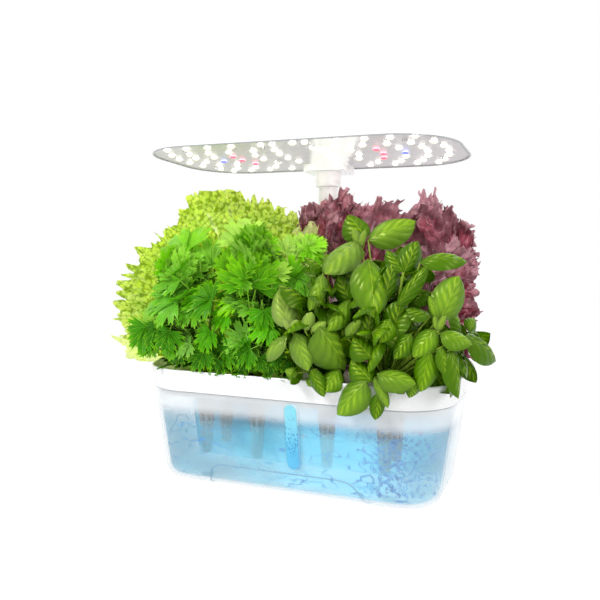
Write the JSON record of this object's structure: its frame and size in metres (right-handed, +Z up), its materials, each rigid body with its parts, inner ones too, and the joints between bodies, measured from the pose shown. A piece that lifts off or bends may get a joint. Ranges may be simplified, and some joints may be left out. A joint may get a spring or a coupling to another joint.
{
  "type": "indoor herb planter",
  "caption": "Countertop hydroponic planter: frosted water tank with level window, white pod deck, herbs and lettuces, and a grow lamp on a telescopic pole",
  "frame": {"origin": "centre of the tank's flat underside", "axes": "+X along the tank, +Y from the front with the level window to the back with the pole, +Z up"},
  "size_m": [0.5093, 0.2208, 0.4043],
  "materials": {
    "frosted_tank": "frosted satin",
    "clear_window": "clear gloss",
    "pad_rubber": "matte",
    "white_gloss": "gloss",
    "screw_steel": "satin",
    "circuit_green": "satin",
    "black_plastic": "satin",
    "pump_grey": "satin",
    "shaft_ceramic": "polished",
    "rotor_white": "satin",
    "riser_clear": "gloss",
    "lead_black": "satin",
    "sponge_brown": "matte",
    "brushed_board": "brushed, glossy",
    "led_white": "gloss",
    "led_red": "gloss",
    "led_blue": "gloss",
    "button_white": "satin",
    "basket_grey": "satin",
    "parsley_leaf": "satin",
    "basil_leaf": "satin, cupped and veined",
    "green_lettuce_leaf": "satin, ruffled",
    "red_lettuce_leaf": "satin, ruffled"
  },
  "bodies": {
    "tank": {"water_tank": "frosted_tank", "level_window": "clear_window", "foot_pads": "pad_rubber"},
    "fill_cap": {"fill_cap": "white_gloss"},
    "rotor": {"pump_rotor": "rotor_white"},
    "lamp": {"upper_tube": "white_gloss", "lead_grommet": "pad_rubber", "lamp_collar": "white_gloss", "mount_plate": "white_gloss", "lamp_shell": "white_gloss", "led_board": "brushed_board", "white_leds": "led_white", "red_leds": "led_red", "blue_leds": "led_blue", "board_screws": "screw_steel", "mount_screws": "screw_steel", "control_board": "circuit_green", "lamp_lead": "lead_black"},
    "power_button": {"power_button": "button_white"},
    "mode_button": {"mode_button": "button_white"},
    "deck": {"basil_1": "basil_leaf", "basil_2": "basil_leaf", "basil_3": "basil_leaf", "coiled_lead": "lead_black", "deck_screws": "screw_steel", "green_lettuce_1": "green_lettuce_leaf", "green_lettuce_2": "green_lettuce_leaf", "green_lettuce_3": "green_lettuce_leaf", "grow_deck": "white_gloss", "grow_sponges": "sponge_brown", "hanging_leaves": "basil_leaf", "lower_tube": "white_gloss", "parsley_1": "parsley_leaf", "parsley_2": "parsley_leaf", "plant_stems": "green_lettuce_leaf", "pod_basket_1": "basket_grey", "pod_basket_10": "basket_grey", "pod_basket_2": "basket_grey", "pod_basket_3": "basket_grey", "pod_basket_4": "basket_grey", "pod_basket_5": "basket_grey", "pod_basket_6": "basket_grey", "pod_basket_7": "basket_grey", "pod_basket_8": "basket_grey", "pod_basket_9": "basket_grey", "pole_ring": "white_gloss", "pole_socket": "white_gloss", "power_jack": "black_plastic", "pump_cover": "pump_grey", "pump_housing": "pump_grey", "pump_lead": "lead_black", "pump_riser": "riser_clear", "pump_screws": "screw_steel", "pump_shaft": "shaft_ceramic", "red_lettuce_1": "red_lettuce_leaf", "red_lettuce_2": "red_lettuce_leaf", "wiring_board": "circuit_green"}
  },
  "joints": [
    {"name": "deck_lift", "type": "slide", "parent": "tank", "child": "deck", "axis": [0, 0, 1], "range_m": [0, 0.14]},
    {"name": "cap_lift", "type": "slide", "parent": "deck", "child": "fill_cap", "axis": [0, 0, 1], "range_m": [0, 0.02]},
    {"name": "pump_spin", "type": "hinge", "parent": "deck", "child": "rotor", "pos_m": [0, 0.037, 0.027], "axis": [0, 1, 0], "continuous": true},
    {"name": "pole_extend", "type": "slide", "parent": "deck", "child": "lamp", "axis": [0, 0, 1], "range_m": [-0.02, 0.05], "deforming": ["coiled_lead"]},
    {"name": "power_press", "type": "slide", "parent": "lamp", "child": "power_button", "axis": [0, -0.0576, -0.9983], "range_m": [0, 0.001], "stiffness_N_per_m": 800, "springref_m": -0.0005},
    {"name": "mode_press", "type": "slide", "parent": "lamp", "child": "mode_button", "axis": [0, -0.0576, -0.9983], "range_m": [0, 0.001], "stiffness_N_per_m": 800, "springref_m": -0.0005}
  ]
}
